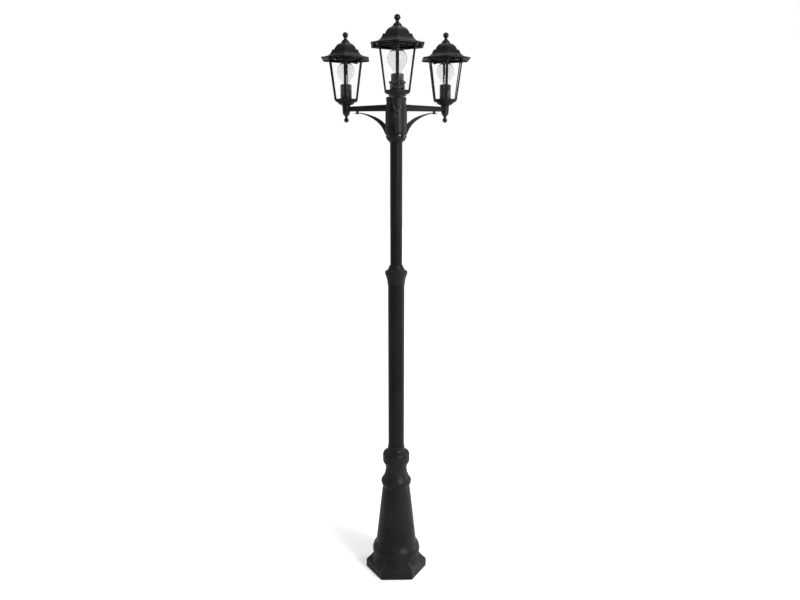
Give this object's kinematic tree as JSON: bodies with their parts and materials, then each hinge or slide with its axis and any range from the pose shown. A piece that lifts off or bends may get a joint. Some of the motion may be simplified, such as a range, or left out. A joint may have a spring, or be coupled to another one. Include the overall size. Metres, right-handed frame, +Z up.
{
  "type": "lamp post",
  "caption": "Garden lamp post on a bell-shaped base, with a stepped round column and hexagonal glazed lanterns on short arms.",
  "frame": {"origin": "centre of the hexagonal foot, on the ground", "axes": "+Z up the post; the front lantern's arm points along -Y, the other two 120 degrees either side"},
  "size_m": [0.5074, 0.486, 1.95],
  "materials": {
    "coat_cast": "cast aluminium, satin black powder coat",
    "coat_tube": "drawn aluminium tube, satin black powder coat",
    "coat_lantern": "thin castings, satin black powder coat",
    "coat_gloss": "turned aluminium, gloss black coat",
    "black_screw": "blackened steel screws",
    "zinc_steel": "zinc plated steel",
    "pane_glass": "clear, smooth",
    "lamp_glass": "clear, blown",
    "stem_glass": "drawn glass, slightly milky",
    "lamp_cap": "bright aluminium",
    "tungsten": "fine tungsten and nickel wire",
    "black_insulator": "vitrified black insulation with a solder dot",
    "holder_plastic": "moulded black phenolic",
    "brass": "bright brass",
    "block_plastic": "moulded off-white",
    "lead_sheath": "grey flexible sheath"
  },
  "bodies": {
    "post": {"base_casting": "coat_cast", "lower_tube": "coat_tube", "mid_coupling": "coat_cast", "upper_tube": "coat_tube", "hub_casting": "coat_cast", "bead_ring": "coat_gloss", "hub_cap": "coat_cast", "tube_grub_screws": "black_screw", "terminal_plate": "zinc_steel", "terminal_block": "block_plastic", "terminal_inserts": "brass", "earth_screw": "brass", "arm_wires": "lead_sheath", "arm_nuts": "zinc_steel", "bracket_screws": "black_screw", "drop_finials": "coat_gloss", "galleries": "coat_lantern", "holder_nipples": "zinc_steel", "holder_shells": "brass", "holder_contacts": "brass", "holder_ring_front": "holder_plastic", "arm_front": "coat_cast", "bracket_front": "coat_cast", "cage_front": "coat_lantern", "panes_front": "pane_glass", "holder_body_front": "holder_plastic", "arm_right": "coat_cast", "bracket_right": "coat_cast", "cage_right": "coat_lantern", "panes_right": "pane_glass", "holder_body_right": "holder_plastic", "arm_left": "coat_cast", "bracket_left": "coat_cast", "cage_left": "coat_lantern", "panes_left": "pane_glass", "holder_body_left": "holder_plastic"},
    "roof_front": {"roof_front": "coat_lantern", "roof_finial_front": "coat_gloss", "roof_screws_front": "black_screw"},
    "lamp_tip_front": {"bulb_tip_front": "black_insulator"},
    "lamp_front": {"bulb_cap_front": "lamp_cap", "bulb_glass_front": "lamp_glass", "bulb_mount_front": "stem_glass", "bulb_filament_front": "tungsten"},
    "roof_right": {"roof_right": "coat_lantern", "roof_finial_right": "coat_gloss", "roof_screws_right": "black_screw"},
    "lamp_tip_right": {"bulb_tip_right": "black_insulator"},
    "lamp_right": {"bulb_cap_right": "lamp_cap", "bulb_glass_right": "lamp_glass", "bulb_mount_right": "stem_glass", "bulb_filament_right": "tungsten"},
    "roof_left": {"roof_left": "coat_lantern", "roof_finial_left": "coat_gloss", "roof_screws_left": "black_screw"},
    "lamp_tip_left": {"bulb_tip_left": "black_insulator"},
    "lamp_left": {"bulb_cap_left": "lamp_cap", "bulb_glass_left": "lamp_glass", "bulb_mount_left": "stem_glass", "bulb_filament_left": "tungsten"}
  },
  "joints": [
    {"name": "roof_lift_front", "type": "slide", "parent": "post", "child": "roof_front", "axis": [0, 0, 1], "range_m": [0, 0.15]},
    {"name": "lamp_rise_front", "type": "slide", "parent": "post", "child": "lamp_tip_front", "axis": [0, 0, 1], "range_m": [0, 0.01815]},
    {"name": "lamp_turn_front", "type": "hinge", "parent": "lamp_tip_front", "child": "lamp_front", "pos_m": [0, -0.2, 1.752], "axis": [0, 0, 1], "range_deg": [0, 1800]},
    {"name": "roof_lift_right", "type": "slide", "parent": "post", "child": "roof_right", "axis": [0, 0, 1], "range_m": [0, 0.15]},
    {"name": "lamp_rise_right", "type": "slide", "parent": "post", "child": "lamp_tip_right", "axis": [0, 0, 1], "range_m": [0, 0.01815]},
    {"name": "lamp_turn_right", "type": "hinge", "parent": "lamp_tip_right", "child": "lamp_right", "pos_m": [0.1732, 0.1, 1.752], "axis": [0, 0, 1], "range_deg": [0, 1800]},
    {"name": "roof_lift_left", "type": "slide", "parent": "post", "child": "roof_left", "axis": [0, 0, 1], "range_m": [0, 0.15]},
    {"name": "lamp_rise_left", "type": "slide", "parent": "post", "child": "lamp_tip_left", "axis": [0, 0, 1], "range_m": [0, 0.01815]},
    {"name": "lamp_turn_left", "type": "hinge", "parent": "lamp_tip_left", "child": "lamp_left", "pos_m": [-0.1732, 0.1, 1.752], "axis": [0, 0, 1], "range_deg": [0, 1800]}
  ],
  "couplings": [
    {"joint": "lamp_rise_front", "follows": "lamp_turn_front", "m_per_rad": 0.00057757},
    {"joint": "lamp_rise_right", "follows": "lamp_turn_right", "m_per_rad": 0.00057757},
    {"joint": "lamp_rise_left", "follows": "lamp_turn_left", "m_per_rad": 0.00057757}
  ]
}
